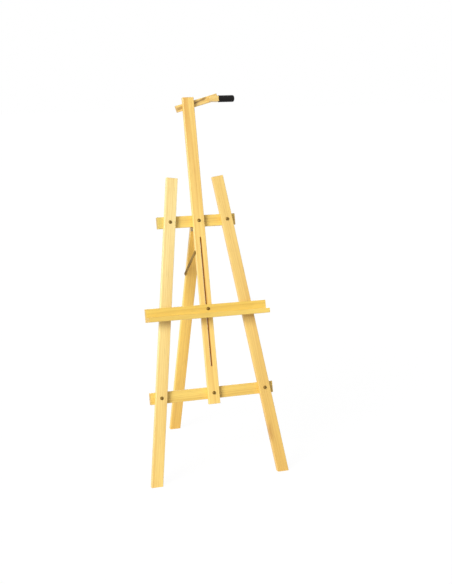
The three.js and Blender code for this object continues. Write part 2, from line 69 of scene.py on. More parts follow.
def selectWhere(piece, kind, test):
    mesh = bmesh.from_edit_mesh(piece.data)
    bpy.ops.mesh.select_all(action="DESELECT")
    bpy.ops.mesh.select_mode(type={"faces": "FACE", "edges": "EDGE", "verts": "VERT"}[kind])
    for element in getattr(mesh, kind):
        if test(element):
            element.select_set(True)
    mesh.select_flush_mode()
    bmesh.update_edit_mesh(piece.data)

def bevelWhere(piece, test, width, segments):
    selectWhere(piece, "edges", test)
    bpy.ops.mesh.bevel(offset=width, segments=segments, affect="EDGES")

def doneEditing():
    bpy.ops.object.mode_set(mode="OBJECT")

def applyModifier(piece, modifier):
    choose(piece)
    bpy.ops.object.modifier_apply(modifier=modifier.name)

# moves an object's place, turn and size into its mesh
def settle(piece):
    choose(piece)
    bpy.ops.object.transform_apply(location=True, rotation=True, scale=True)

# puts a piece made at the origin in its place
def putInPlace(piece, place):
    piece.matrix_world = place
    settle(piece)

# works on a piece with other objects, which are used up
def combine(piece, others, operation):
    for other in others:
        boolean = piece.modifiers.new("combine", "BOOLEAN")
        boolean.operation = operation
        boolean.solver = "EXACT"
        boolean.object = other
        applyModifier(piece, boolean)
        bpy.data.objects.remove(other)

def cutAway(piece, cutters):
    combine(piece, cutters, "DIFFERENCE")

def joinTo(piece, others):
    combine(piece, others, "UNION")

def easeEdges(piece, width, segments=2, angle=50):
    bevel = piece.modifiers.new("ease", "BEVEL")
    bevel.width = width
    bevel.segments = segments
    bevel.limit_method = "ANGLE"
    bevel.angle_limit = math.radians(angle)
    applyModifier(piece, bevel)

# merges the points that cutting leaves all but on top of each other
def mergeSlivers(piece, distance=2e-6):
    startEditing(piece, "SELECT")
    bpy.ops.mesh.remove_doubles(threshold=distance)
    doneEditing()

def smoothFaces(piece, angle=40):
    mergeSlivers(piece)
    choose(piece)
    bpy.ops.object.shade_smooth_by_angle(angle=math.radians(angle))
    weighted = piece.modifiers.new("weighted", "WEIGHTED_NORMAL")
    weighted.keep_sharp = True
    weighted.weight = 90
    applyModifier(piece, weighted)

def standFor(piece, node, material):
    piece.data.materials.clear()
    piece.data.materials.append(material)
    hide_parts(node)
    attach(piece, bodyOf[node])
    deselectAll()

def copyOf(piece, name):
    choose(piece)
    bpy.ops.object.duplicate()
    copy = bpy.context.object
    copy.name = name
    return copy

# a frame with its z axis along one direction and its y axis as near as can be to another
def axesAlong(z, y, origin=(0, 0, 0)):
    z = z.normalized()
    x = y.cross(z).normalized()
    y = z.cross(x)
    place = Matrix((x, y, z)).transposed().to_4x4()
    place.translation = Vector(origin)
    return place

# the middle of a node's box, and its size, seen along the given axes
def measure(node, axes):
    back = axes.inverted()
    points = [back @ vertex.co for vertex in cadNodes[node].data.vertices]
    low = Vector([min(point[i] for point in points) for i in range(3)])
    high = Vector([max(point[i] for point in points) for i in range(3)])
    return axes @ ((low + high) / 2), high - low

# a direction well away from the given one
def besides(direction):
    return across if abs(direction.x) < 0.9 else upFrame

def lengthOf(node, direction=backFrame):
    return measure(node, axesAlong(direction, besides(direction)))[1].z

# the place of a long node: z along a direction, starting where the node starts
def startOf(node, direction, y):
    axes = axesAlong(direction, y)
    middle, size = measure(node, axes)
    axes.translation = middle - direction.normalized() * size.z / 2
    return axes, size

# a board's own axes: x across its width, y back through its thickness, z up or to the right along it
def boardAxes(node):
    sides = {}
    for face in cadNodes[node].data.polygons:
        normal = face.normal.copy()
        if max(normal, key=abs) < 0:
            normal.negate()
        key = tuple(round(value, 2) for value in normal)
        area, shown = sides.get(key, (0, normal))
        sides[key] = (area + face.area, shown)
    through, wide = [normal for area, normal in sorted(sides.values(), key=lambda side: -side[0])[:2]]
    along = wide.cross(through)
    if along.dot(upFrame + across / 2) < 0:
        along.negate()
    if through.dot(backFrame) + through.dot(upFrame) / 2 < 0:
        through.negate()
    axes = axesAlong(along, through)
    middle, size = measure(node, axes)
    axes.translation = middle
    return axes, size

def addBlock(size, middle=(0, 0, 0), turn=0.0):
    deselectAll()
    bpy.ops.mesh.primitive_cube_add(size=1, location=middle, rotation=(0, 0, turn), scale=size)
    return bpy.context.object

def addRod(radius, start, end, sides=32):
    start, end = Vector(start), Vector(end)
    turn = (end - start).to_track_quat("Z", "Y").to_euler()
    deselectAll()
    bpy.ops.mesh.primitive_cylinder_add(vertices=sides, radius=radius, depth=(end - start).length,
                                        location=(start + end) / 2, rotation=turn)
    return bpy.context.object

# a block or cutter with round ends, between the middles of its two ends, and deep along a direction
def addRoundEnded(width, depth, start, end, through, sides=48):
    start, end = Vector(start), Vector(end)
    run = end - start
    deselectAll()
    bpy.ops.mesh.primitive_cylinder_add(vertices=sides, radius=width / 2, depth=depth,
                                        rotation=(0, 0, math.pi / sides))
    shape = bpy.context.object
    settle(shape)
    startEditing(shape)
    selectWhere(shape, "verts", lambda vertex: vertex.co.x > 0)
    bpy.ops.transform.translate(value=(run.length, 0, 0))
    doneEditing()
    place = Matrix((run.normalized(), through.cross(run).normalized(), through)).transposed().to_4x4()
    place.translation = start
    putInPlace(shape, place)
    return shape

# a round shape about the z axis, from radius and height pairs, made by extruding a cone's top
def addTurned(steps, sides=40):
    (lowRadius, lowHeight), (radius, height) = steps[:2]
    deselectAll()
    bpy.ops.mesh.primitive_cone_add(vertices=sides, radius1=lowRadius, radius2=radius,
                                    depth=height - lowHeight, location=(0, 0, (lowHeight + height) / 2))
    shape = bpy.context.object
    settle(shape)
    startEditing(shape)
    selectWhere(shape, "faces",
                lambda face: face.normal.z > 0.99 and face.calc_center_median().z > height - 1e-7)
    for nextRadius, nextHeight in steps[2:]:
        bpy.ops.mesh.extrude_region_move(TRANSFORM_OT_translate={"value": (0, 0, nextHeight - height)})
        ratio = nextRadius / radius
        bpy.ops.transform.resize(value=(ratio, ratio, 1), center_override=(0, 0, nextHeight))
        radius, height = nextRadius, nextHeight
    bpy.ops.mesh.select_all(action="SELECT")
    bpy.ops.mesh.normals_make_consistent(inside=False)
    doneEditing()
    return shape

print("frame read")

def newGroup(name, inputs, outputs):
    group = bpy.data.node_groups.new(name, "ShaderNodeTree")
    for label, kind in inputs.items():
        group.interface.new_socket(name=label, in_out="INPUT", socket_type="NodeSocket" + kind)
    for label in outputs:
        group.interface.new_socket(name=label, in_out="OUTPUT", socket_type="NodeSocketFloat")
    start = group.nodes.new("NodeGroupInput")
    end = group.nodes.new("NodeGroupOutput")
    return group, start.outputs, end.inputs

# links a node's inputs from sockets, or sets them to values
def feed(tree, inputs, values):
    for key, value in values.items():
        if isinstance(value, bpy.types.NodeSocket):
            tree.links.new(value, inputs[key])
        else:
            inputs[key].default_value = value

# one node of a tree, with its settings made and its inputs fed
def addNode(tree, kind, values=None, **settings):
    node = tree.nodes.new("ShaderNode" + kind)
    for key, setting in settings.items():
        setattr(node, key, setting)
    feed(tree, node.inputs, values or {})
    return node

def maths(tree, operation, *values, clamp=False):
    return addNode(tree, "Math", dict(enumerate(values)), operation=operation, use_clamp=clamp).outputs[0]

def vectorMaths(tree, operation, *values):
    node = addNode(tree, "VectorMath", dict(enumerate(values)), operation=operation)
    return node.outputs["Value" if operation == "LENGTH" else "Vector"]

# a starting value with each socket's share added to it
def addUp(tree, total, *shares):
    for value, share in shares:
        total = maths(tree, "ADD", total, maths(tree, "MULTIPLY", value, share))
    return total

def remap(tree, value, low, high, newLow=0.0, newHigh=1.0):
    values = {"Value": value, "From Min": low, "From Max": high, "To Min": newLow, "To Max": newHigh}
    return addNode(tree, "MapRange", values, interpolation_type="SMOOTHSTEP").outputs["Result"]

def blendColors(tree, share, first, second, mode="MIX"):
    values = {0: share, 6: first, 7: second}
    return addNode(tree, "Mix", values, data_type="RGBA", blend_type=mode, clamp_factor=True).outputs[2]

def noise(tree, vector, scale, detail=2.0, roughness=0.5):
    values = {"Vector": vector, "Scale": scale, "Detail": detail, "Roughness": roughness}
    return addNode(tree, "TexNoise", values).outputs["Fac"]

# noise drawn out along a board, with a seed's shift
def drawnNoise(tree, place, stretch, shift, detail=2.0, roughness=0.5):
    moved = vectorMaths(tree, "ADD", vectorMaths(tree, "MULTIPLY", place, stretch), shift)
    return noise(tree, moved, 1.0, detail, roughness)

ringPattern = {
    "spacing": 0.0045, "wander": (0.01, 0.01, 0.0), "bend": (5.0, 5.0, 1.1), "taper": 0.012,
    "tremble": (60.0, 60.0, 4.0), "trembleSize": 0.5,
    "riseStart": 0.05, "riseEnd": 0.86, "sharpness": 2.2, "fallStart": 0.9, "faintest": 0.4,
    "broad": (16.0, 16.0, 1.3),
}

# growth rings cut by a board, wandering along its length
def makeRingGroup():
    group, start, end = newGroup("growthRings", {"Vector": "Vector", "Seed": "Float", "Heart": "Vector"},
                                 ["Rings", "Shade"])
    pattern, place = ringPattern, start["Vector"]
    seed = vectorMaths(group, "MULTIPLY", start["Seed"], (1.7, 2.9, 3.7))
    slow = vectorMaths(group, "ADD", vectorMaths(group, "MULTIPLY", place, pattern["bend"]), seed)
    bend = addNode(group, "TexNoise", {"Vector": slow, "Scale": 1.0, "Detail": 1.5})
    bent = vectorMaths(group, "SUBTRACT", bend.outputs["Color"], (0.5, 0.5, 0.5))
    bent = vectorMaths(group, "MULTIPLY", bent, pattern["wander"])
    flat = vectorMaths(group, "MULTIPLY", place, (1.0, 1.0, pattern["taper"]))
    fromHeart = vectorMaths(group, "ADD", vectorMaths(group, "ADD", flat, bent), start["Heart"])
    steps = maths(group, "DIVIDE", vectorMaths(group, "LENGTH", fromHeart), pattern["spacing"])
    steps = addUp(group, steps, (drawnNoise(group, place, pattern["tremble"], seed), pattern["trembleSize"]))
    part = maths(group, "FRACT", steps)
    rise = remap(group, part, pattern["riseStart"], pattern["riseEnd"])
    rise = maths(group, "POWER", rise, pattern["sharpness"])
    ring = maths(group, "MULTIPLY", rise, remap(group, part, 1.0, pattern["fallStart"]))
    age = addNode(group, "TexWhiteNoise", {"W": maths(group, "FLOOR", steps)}, noise_dimensions="1D")
    strength = addUp(group, pattern["faintest"], (age.outputs["Value"], 1 - pattern["faintest"]))
    feed(group, end, {"Rings": maths(group, "MULTIPLY", ring, strength),
                      "Shade": drawnNoise(group, place, pattern["broad"], seed)})
    return group

fibrePattern = {"fibreStretch": 0.018, "fibreScale": 900.0, "poreStretch": 0.03, "poreScale": 620.0,
                "poreStart": 0.66, "poreEnd": 0.74}

# fine fibres and short dark pores, both drawn out along the board
def makeFibreGroup():
    group, start, end = newGroup("woodFibres", {"Vector": "Vector", "Seed": "Float"}, ["Fibres", "Pores"])
    pattern = fibrePattern
    seed = vectorMaths(group, "MULTIPLY", start["Seed"], (5.3, 1.9, 0.7))
    place = vectorMaths(group, "ADD", start["Vector"], seed)
    drawn = vectorMaths(group, "MULTIPLY", place, (1.0, 1.0, pattern["fibreStretch"]))
    fibres = noise(group, drawn, pattern["fibreScale"], 3.0, 0.6)
    drawn = vectorMaths(group, "MULTIPLY", place, (1.0, 1.0, pattern["poreStretch"]))
    dots = noise(group, drawn, pattern["poreScale"], 1.0, 0.4)
    pores = remap(group, dots, pattern["poreStart"], pattern["poreEnd"])
    feed(group, end, {"Fibres": fibres, "Pores": pores})
    return group

rubPattern = {"width": 0.003, "ragged": (220.0, 220.0, 26.0), "endStart": 0.0012, "endFull": 0.0003}

# how near a point is to a box's long edges, and to its ends
def makeEdgeGroup():
    group, start, end = newGroup("edgeRub", {"Vector": "Vector", "Seed": "Float", "Half Size": "Vector"},
                                 ["Edges", "Ends"])
    pattern, place = rubPattern, start["Vector"]
    away = vectorMaths(group, "SUBTRACT", start["Half Size"], vectorMaths(group, "ABSOLUTE", place))
    gap = addNode(group, "SeparateXYZ", {"Vector": away})
    seed = vectorMaths(group, "MULTIPLY", start["Seed"], (3.1, 4.7, 9.3))
    rough = remap(group, drawnNoise(group, place, pattern["ragged"], seed, 3.0, 0.6), 0.3, 0.75, 0.2, 1.0)
    width = maths(group, "MULTIPLY", pattern["width"], rough)
    sides = maths(group, "MAXIMUM", gap.outputs["X"], gap.outputs["Y"])
    edges = maths(group, "SUBTRACT", 1.0, maths(group, "DIVIDE", sides, width), clamp=True)
    ends = remap(group, gap.outputs["Z"], pattern["endStart"], pattern["endFull"])
    feed(group, end, {"Edges": edges, "Ends": ends})
    return group

patinaPattern = {"speckScale": 1800.0, "scratchScale": 2600.0, "scratchStretch": (1.0, 0.12, 0.5)}

# dull, uneven patches such as handling leaves on metal and rubber
def makePatinaGroup():
    group, start, end = newGroup("patina", {"Vector": "Vector", "Scale": "Float"},
                                 ["Patches", "Specks", "Scratches"])
    pattern, place = patinaPattern, start["Vector"]
    patches = noise(group, place, start["Scale"], 4.0, 0.6)
    specks = noise(group, place, pattern["speckScale"], 2.0, 0.7)
    drawn = vectorMaths(group, "MULTIPLY", place, pattern["scratchStretch"])
    lines = noise(group, drawn, pattern["scratchScale"], 1.0, 0.5)
    feed(group, end, {"Patches": remap(group, patches, 0.35, 0.7), "Specks": remap(group, specks, 0.35, 0.8),
                      "Scratches": remap(group, lines, 0.58, 0.72)})
    return group

growthRings = makeRingGroup()
woodFibres = makeFibreGroup()
edgeRub = makeEdgeGroup()
patina = makePatinaGroup()
print("shader groups made")

def emptyMaterial(name):
    material = bpy.data.materials.new(name)
    material.use_nodes = True
    tree = material.node_tree
    return material, tree, tree.nodes["Principled BSDF"].inputs

def toned(color, tone):
    return [min(1, value * share) for value, share in zip(color, tone)] + [1]

def reliefNormal(tree, look, height):
    values = {"Height": height, "Strength": look["reliefStrength"], "Distance": look["reliefDepth"]}
    return addNode(tree, "Bump", values).outputs[0]

# a long mark painted on a board in its own colour: its middle, half length, half width and slope on the broad face
def markMask(tree, vector, mark):
    part = addNode(tree, "SeparateXYZ", {"Vector": vector})
    along = maths(tree, "SUBTRACT", part.outputs["Z"], mark["along"])
    line = addUp(tree, mark["side"], (along, mark["slope"]))
    aside = maths(tree, "SUBTRACT", part.outputs["X"], line)
    stir = noise(tree, vectorMaths(tree, "MULTIPLY", vector, (150.0, 60.0, 22.0)), 1.0, 3.0)
    aside = addUp(tree, aside, (maths(tree, "SUBTRACT", stir, 0.5), mark["halfWidth"] * 1.4))
    near = remap(tree, maths(tree, "ABSOLUTE", aside), mark["halfWidth"], mark["halfWidth"] * 0.35)
    fade = mark["halfLength"] * mark.get("fade", 0.6)
    ends = remap(tree, maths(tree, "ABSOLUTE", along), mark["halfLength"], fade)
    return maths(tree, "MULTIPLY", maths(tree, "MULTIPLY", near, ends), mark["strength"])

# painted shade on the walls of a slot and a thin margin of its rim, where the wood is also bare and handled
def bareShadedSlotMask(tree, vector, slot):
    part = addNode(tree, "SeparateXYZ", {"Vector": vector})
    half, middle = slot["width"] / 2, (slot["low"] + slot["high"]) / 2
    straight = (slot["high"] - slot["low"]) / 2 - half
    along = maths(tree, "ABSOLUTE", maths(tree, "SUBTRACT", part.outputs["Z"], middle))
    past = maths(tree, "MAXIMUM", maths(tree, "SUBTRACT", along, straight), 0.0)
    aside = addNode(tree, "CombineXYZ", {"X": part.outputs["X"], "Y": past})
    away = vectorMaths(tree, "LENGTH", aside.outputs[0])
    return remap(tree, away, half + slot["bareShadeMargin"], half + slot["bareShadeMargin"] / 3)

varnishedWood = {
    "ringStrength": 0.42, "fibreStrength": 0.2, "shadeStrength": 0.5,
    "poreStrength": 0.3, "poreTone": (0.45, 0.45, 0.45), "endStrength": 0.55, "endTone": (0.8, 0.72, 0.6),
    "rubStrength": 0.22, "rubTone": (1.05, 1.1, 1.4),
    # the slot colour here is painted shade for a slot's walls
    "markColor": (0.24, 0.13, 0.035), "slotShadeColor": (0.55, 0.24, 0.02, 1),
    "roughness": 0.34, "fibreRoughness": 0.16, "rubRoughness": 0.14, "endRoughness": 0.2,
    "slotRoughness": 0.5, "coat": 0.25, "coatRoughness": 0.22,
    "fibreRelief": 0.5, "poreRelief": -0.8, "ringRelief": 0.6, "reliefStrength": 0.6, "reliefDepth": 0.00012,
}

# a varnished board whose grain runs along its own length
def woodMaterial(name, place, size, board):
    material, tree, surface = emptyMaterial(name)
    look = varnishedWood
    light, dark = board["light"] + (1,), board["dark"] + (1,)
    own = addNode(tree, "Mapping", {"Vector": addNode(tree, "TexCoord").outputs["Object"],
                                    "Location": place.translation, "Rotation": place.to_euler()},
                  vector_type="TEXTURE")
    vector = own.outputs[0]
    given = {"Vector": vector, "Seed": board["seed"]}
    heart = {"Heart": board["heart"] + (0,)}
    rings = addNode(tree, "Group", given | heart, node_tree=growthRings).outputs
    fibres = addNode(tree, "Group", given, node_tree=woodFibres).outputs
    rub = addNode(tree, "Group", given | {"Half Size": size / 2}, node_tree=edgeRub).outputs

    shade = addUp(tree, 0.0, (remap(tree, rings["Shade"], 0.3, 0.72), look["shadeStrength"]),
                  (rings["Rings"], look["ringStrength"]),
                  (remap(tree, fibres["Fibres"], 0.35, 0.7), look["fibreStrength"]))
    color = blendColors(tree, shade, light, dark)
    for mark in board.get("marks", []):
        markColor = mark.get("color", look["markColor"]) + (1,)
        color = blendColors(tree, markMask(tree, vector, mark), color, markColor)
    if "slot" in board:
        # painted shade: the slot's walls and rim are darkened; their wood is also bare, so rougher and without
        # coat
        bareShadedWalls = bareShadedSlotMask(tree, vector, board["slot"])
        color = blendColors(tree, bareShadedWalls, color, look["slotShadeColor"])
    # the board darker towards its bottom; on the rear leg this is painted light, which keeps its upper part
    # lighter where the left leg and crossbar cast shadow
    if "lowTint" in board:
        height = addNode(tree, "SeparateXYZ", {"Vector": vector}).outputs["Z"]
        low = remap(tree, height, -size.z * 0.5, size.z * 0.3, 1.0, 0.0)
        color = blendColors(tree, low, color, board["lowTint"] + (1,), "MULTIPLY")
    for mask, strength, tone in ((fibres["Pores"], look["poreStrength"], toned(dark, look["poreTone"])),
                                 (rub["Ends"], look["endStrength"], toned(dark, look["endTone"])),
                                 (rub["Edges"], look["rubStrength"], toned(light, look["rubTone"]))):
        color = blendColors(tree, maths(tree, "MULTIPLY", mask, strength), color, tone)

    rough = addUp(tree, look["roughness"], (fibres["Fibres"], look["fibreRoughness"]),
                  (rub["Edges"], look["rubRoughness"]), (rub["Ends"], look["endRoughness"]))
    coat = look["coat"]
    if "slot" in board:
        rough = maths(tree, "ADD", rough, maths(tree, "MULTIPLY", bareShadedWalls, look["slotRoughness"]), clamp=True)
        coat = maths(tree, "MULTIPLY", maths(tree, "SUBTRACT", 1.0, bareShadedWalls), coat)
    relief = addUp(tree, 0.0, (fibres["Fibres"], look["fibreRelief"]), (fibres["Pores"], look["poreRelief"]),
                   (rings["Rings"], look["ringRelief"]))
    feed(tree, surface, {
        "Base Color": color, "Roughness": rough, "Normal": reliefNormal(tree, look, relief),
        "Coat Weight": coat, "Coat Roughness": look["coatRoughness"]})
    return material

handledSurface = {
    "patchStrength": 0.6, "speckStrength": 0.2, "speckTone": (0.5, 0.5, 0.5),
    "patchRoughness": 0.18, "scratchRoughness": -0.08,
    "scratchRelief": -0.7, "reliefStrength": 0.35, "reliefDepth": 0.00006,
}

# a metal or rubber, dulled in patches towards its worn color
def metalMaterial(name, base, worn, roughness, patchScale, metallic, gloss):
    material, tree, surface = emptyMaterial(name)
    look = handledSurface
    own = addNode(tree, "TexCoord").outputs["Object"]
    marks = addNode(tree, "Group", {"Vector": own, "Scale": patchScale}, node_tree=patina).outputs
    patches = maths(tree, "MULTIPLY", marks["Patches"], look["patchStrength"])
    specks = maths(tree, "MULTIPLY", marks["Specks"], look["speckStrength"])
    color = blendColors(tree, patches, base + (1,), worn + (1,))
    color = blendColors(tree, specks, color, toned(base, look["speckTone"]))
    rough = addUp(tree, roughness, (marks["Patches"], look["patchRoughness"]),
                  (marks["Scratches"], look["scratchRoughness"]))
    relief = addUp(tree, marks["Specks"], (marks["Scratches"], look["scratchRelief"]))
    feed(tree, surface, {"Base Color": color, "Metallic": metallic, "Specular IOR Level": gloss,
                         "Roughness": rough, "Normal": reliefNormal(tree, look, relief)})
    return material

zincSteel = metalMaterial("zincSteel", base=(0.62, 0.61, 0.57), worn=(0.47, 0.46, 0.43), roughness=0.3,
                          patchScale=90.0, metallic=1.0, gloss=0.5)
bronzedSteel = metalMaterial("bronzedSteel", base=(0.18, 0.105, 0.02), worn=(0.26, 0.165, 0.045),
                             roughness=0.42, patchScale=70.0, metallic=0.75, gloss=0.3)
brownedSteel = metalMaterial("brownedSteel", base=(0.27, 0.165, 0.04), worn=(0.35, 0.225, 0.06),
                             roughness=0.6, patchScale=70.0, metallic=0.25, gloss=0.15)
blackRubber = metalMaterial("blackRubber", base=(0.008, 0.007, 0.007), worn=(0.014, 0.013, 0.013),
                            roughness=0.6, patchScale=50.0, metallic=0.0, gloss=0.15)
print("materials made")

timber = {"rounding": 0.0022, "roundingSteps": 4, "endEasing": 0.0008, "endSteps": 3,
          "slotEasing": 0.0003, "slotSteps": 2}
clearance = 0.0003  # between a thread, pin or head and what it passes through
threadRadius = {"frame": 0.004, "shelf": 0.003, "finger": 0.003, "stay": 0.0025}

# a board with rounded long edges and eased ends, cut off level with the floor if it stands on it
def addBoard(node, floorCut):
    axes, size = boardAxes(node)
    board = addBlock(size)
    board.name = node + "_board"
    settle(board)

    def isLong(edge):
        return abs(edge.verts[0].co.z - edge.verts[1].co.z) > size.z * 0.9

    def onEnd(edge):
        first, second = [vertex.co.z for vertex in edge.verts]
        return min(abs(first), abs(second)) > size.z * 0.499 and abs(first - second) < 1e-5

    startEditing(board)
    bevelWhere(board, isLong, timber["rounding"], timber["roundingSteps"])
    bevelWhere(board, onEnd, timber["endEasing"], timber["endSteps"])
    doneEditing()
    putInPlace(board, axes)
    if floorCut:
        startEditing(board, "SELECT")
        bpy.ops.mesh.bisect(plane_co=(0, 0, 0), plane_no=(0, 0, 1), use_fill=True, clear_inner=True,
                            threshold=1e-6)
        doneEditing()
    return board, axes, size

# a cutter for a threaded piece, a little longer than it
def holeFor(node, thread, direction=backFrame):
    axes, size = startOf(node, direction, besides(direction))
    start, end = -direction * clearance, direction * (size.z + clearance)
    return addRod(threadRadius[thread] + clearance, axes.translation + start, axes.translation + end)

# a cutter for a countersunk screw, from over its head to past its tip
def sinkFor(node, direction, screw):
    head, shank = screw["head"] + clearance, screw["shank"] + clearance
    axes, size = startOf(node, direction, across)
    cutter = addTurned([(head, -0.002), (head, screw["rim"]), (shank, screw["rim"] + head - shank),
                        (shank, size.z + clearance)], 24)
    putInPlace(cutter, axes)
    return cutter

# cuts a slot through a board and eases its rim on both faces
def cutSlot(board, axes, size, width, startHeight, endHeight):
    low, high = Vector((0, 0, startHeight)), Vector((0, 0, endHeight))
    through = axes.to_3x3().normalized().col[1]
    cutAway(board, [addRoundEnded(width, size.y * 3, axes @ low, axes @ high, through)])
    back = axes.inverted()

    def onRim(edge):
        for vertex in edge.verts:
            spot = back @ vertex.co
            nearest = max(startHeight, min(endHeight, spot.z))
            fromMiddle = Vector((spot.x, spot.z - nearest)).length
            if abs(spot.y) < size.y * 0.499 or abs(fromMiddle - width / 2) > 0.0002:
                return False
        return True

    startEditing(board)
    bevelWhere(board, onRim, timber["slotEasing"], timber["slotSteps"])
    doneEditing()

shelfScrew = {"head": 0.004, "shank": 0.002, "rim": 0.0003, "pitch": 0.0017, "smooth": 0.014,
              "recess": 0.0046}
hingeScrew = {"head": 0.0034, "shank": 0.0016, "rim": 0.0003, "pitch": 0.0013, "smooth": 0.004,
              "recess": 0.0038}
rearLegWay = boardAxes("rear_leg")[0].to_3x3()
rearBack, rearDown = rearLegWay.col[1].normalized(), -rearLegWay.col[2].normalized()
shelfScrews = ["shelf_left_screw", "shelf_middle_screw", "shelf_right_screw"]
levels = ("upper", "lower")
hingeScrewsOn = {level: [f"hinge_{level}_{side}_screw" for side in ("left", "right")] for level in levels}
frameBolts = [f"{level}_{side}_bolt" for level in levels for side in ("left", "middle", "right")]

# the mast's slot; its walls and a margin of its rim get painted shade
mastSlot = {"width": 0.0066, "low": -0.5025, "high": 0.0565, "bareShadeMargin": 0.0006}  # from the mast's middle
armSlot = {"width": 0.0086, "left": 0.020, "right": 0.025}  # from the stud

# a board's bolts are those with the given word in their names
boards = {
    "left_leg": {
        "light": (0.93, 0.785, 0.35), "dark": (0.73, 0.49, 0.165), "lowTint": (0.95, 0.845, 0.60),
        "seed": 3.0, "heart": (0.03, 0.06), "bolts": "left"},
    "right_leg": {
        "light": (0.825, 0.58, 0.18), "dark": (0.62, 0.355, 0.085), "lowTint": (0.93, 0.87, 0.70),
        "seed": 7.0, "heart": (-0.02, 0.05), "bolts": "right",
        "marks": [{"along": -0.475, "side": -0.026, "slope": 0.0, "halfLength": 0.06, "fade": 0.1,
                   "halfWidth": 0.022, "strength": 0.5, "color": (0.45, 0.22, 0.06)}]},
    "mast": {
        "light": (0.90, 0.66, 0.20), "dark": (0.68, 0.38, 0.085), "lowTint": (1.0, 0.99, 0.95),
        "seed": 12.0, "heart": (0.01, 0.07), "bolts": "middle", "slot": mastSlot},
    "upper_crossbar": {
        "light": (0.89, 0.64, 0.154), "dark": (0.62, 0.37, 0.07),
        "seed": 17.0, "heart": (0.02, 0.05), "bolts": "upper",
        "marks": [{"along": -0.175, "side": 0.0, "slope": 0.0, "halfLength": 0.05, "fade": 0.5,
                   "halfWidth": 0.08, "strength": 0.9, "color": (0.62, 0.485, 0.13)}]},
    "lower_crossbar": {
        "light": (0.89, 0.64, 0.154), "dark": (0.62, 0.37, 0.07),
        "seed": 22.0, "heart": (-0.03, 0.05), "bolts": "lower"},
    "rear_leg": {
        # painted light: the upper part is kept lighter than the lower, where shadow from the front frame falls
        "light": (0.95, 0.635, 0.138), "dark": (0.68, 0.375, 0.065), "lowTint": (0.95, 0.92, 0.84),
        "seed": 26.0, "heart": (0.02, 0.06)},
    "shelf_back_board": {
        "light": (0.92, 0.68, 0.145), "dark": (0.66, 0.41, 0.065), "seed": 31.0, "heart": (0.0, 0.06)},
    "shelf_ledge": {
        "light": (0.90, 0.66, 0.16), "dark": (0.64, 0.40, 0.07), "seed": 36.0, "heart": (0.02, 0.05)},
    "top_arm": {
        "light": (0.89, 0.66, 0.24), "dark": (0.64, 0.39, 0.10), "seed": 41.0, "heart": (0.01, 0.04),
        # a darker streak along the arm's upper half from the mast towards the finger, and a darker patch on its
        # stub left of the mast
        "marks": [{"along": 0.011, "side": -0.0045, "slope": -0.13, "halfLength": 0.041,
                   "halfWidth": 0.0062, "strength": 0.85},
                  {"along": -0.084, "side": 0.0015, "slope": -0.1, "halfLength": 0.018,
                   "halfWidth": 0.011, "strength": 0.62}]},
}
for node, values in boards.items():
    board, axes, size = addBoard(node, floorCut="leg" in node)
    holes = [holeFor(bolt, "frame") for bolt in frameBolts if values.get("bolts", "none") in bolt]
    if node == "mast":
        holes += [holeFor("arm_stud", "frame"), holeFor("stay_pivot_screw", "stay", across)]
    if node == "upper_crossbar":
        holes += [sinkFor(screw, -backFrame, hingeScrew) for screw in hingeScrewsOn["upper"]]
    if node == "rear_leg":
        holes += [sinkFor(screw, rearBack, hingeScrew) for screw in hingeScrewsOn["lower"]]
    if node.startswith("shelf"):
        holes += [sinkFor(screw, -backFrame, shelfScrew) for screw in shelfScrews]
    if node == "shelf_back_board":
        holes.append(holeFor("shelf_bolt", "shelf"))
    if node == "top_arm":
        holes.append(holeFor("finger_stud", "finger"))
    cutAway(board, holes)
    if node == "mast":
        half = mastSlot["width"] / 2
        cutSlot(board, axes, size, mastSlot["width"], mastSlot["low"] + half, mastSlot["high"] - half)
    if node == "top_arm":
        stud = (axes.inverted() @ measure("arm_stud", axesAlong(backFrame, across))[0]).z
        cutSlot(board, axes, size, armSlot["width"], stud - armSlot["left"], stud + armSlot["right"])
    smoothFaces(board)
    standFor(board, node, woodMaterial(node + "Wood", axes, size, values))
print("boards made")

finger = {"width": 0.024, "length": 0.031, "easing": 0.0014, "tenon": 0.010, "tenonStart": 0.018,
          "tenonEasing": 0.0012, "spare": 0.02,
          "light": (0.87, 0.63, 0.22), "dark": (0.62, 0.38, 0.10), "seed": 47.0, "heart": (0.02, 0.03)}

# a square bar with a round end, and a turned tenon for the rubber sleeve
def addFinger():
    axes = axesAlong(across, backFrame)
    middle, size = measure("finger_bar", axes)
    studSpot = measure("finger_stud", axes)[0]
    start = studSpot + backFrame * (middle - studSpot).dot(backFrame)
    end = start + across * (finger["length"] + finger["spare"])
    bar = addRoundEnded(finger["width"], finger["width"], start, end, backFrame)
    bar.name = "finger_bar_shaped"
    startEditing(bar, "SELECT")
    bpy.ops.mesh.bisect(plane_co=start + across * finger["length"], plane_no=across, use_fill=True,
                        clear_outer=True)

    def onRim(edge):
        onFace = [abs(abs((vertex.co - start).dot(backFrame)) - finger["width"] / 2) < 1e-5
                  for vertex in edge.verts]
        onEnd = [vertex.co.x > start.x + finger["length"] - 1e-5 for vertex in edge.verts]
        return all(onFace) or all(onEnd)

    bevelWhere(bar, onRim, finger["easing"], 3)
    doneEditing()
    tenonEnd = size.z - finger["width"] / 2
    tenon = addRod(finger["tenon"], start + across * finger["tenonStart"], start + across * tenonEnd, 36)
    easeEdges(tenon, finger["tenonEasing"])
    joinTo(bar, [tenon])
    cutAway(bar, [holeFor("finger_stud", "finger")])
    smoothFaces(bar)
    whole = axesAlong(across, backFrame, middle)
    standFor(bar, "finger_bar", woodMaterial("fingerWood", whole, size, finger))

sleeve = {"radius": 0.0147, "lip": 0.015, "lipLength": 0.004, "lipRounding": 0.0014, "lipChamfer": 0.0004,
          "step": 0.0006, "bore": 0.0103, "boreLength": 0.0633, "endRounding": 0.0062, "endSteps": 7}

def roundedEnd(radius, height, rounding, steps):
    turns = [math.pi / 2 * (i + 1) / steps for i in range(steps)]
    return [(radius - rounding + rounding * math.cos(turn), height - rounding + rounding * math.sin(turn))
            for turn in turns]

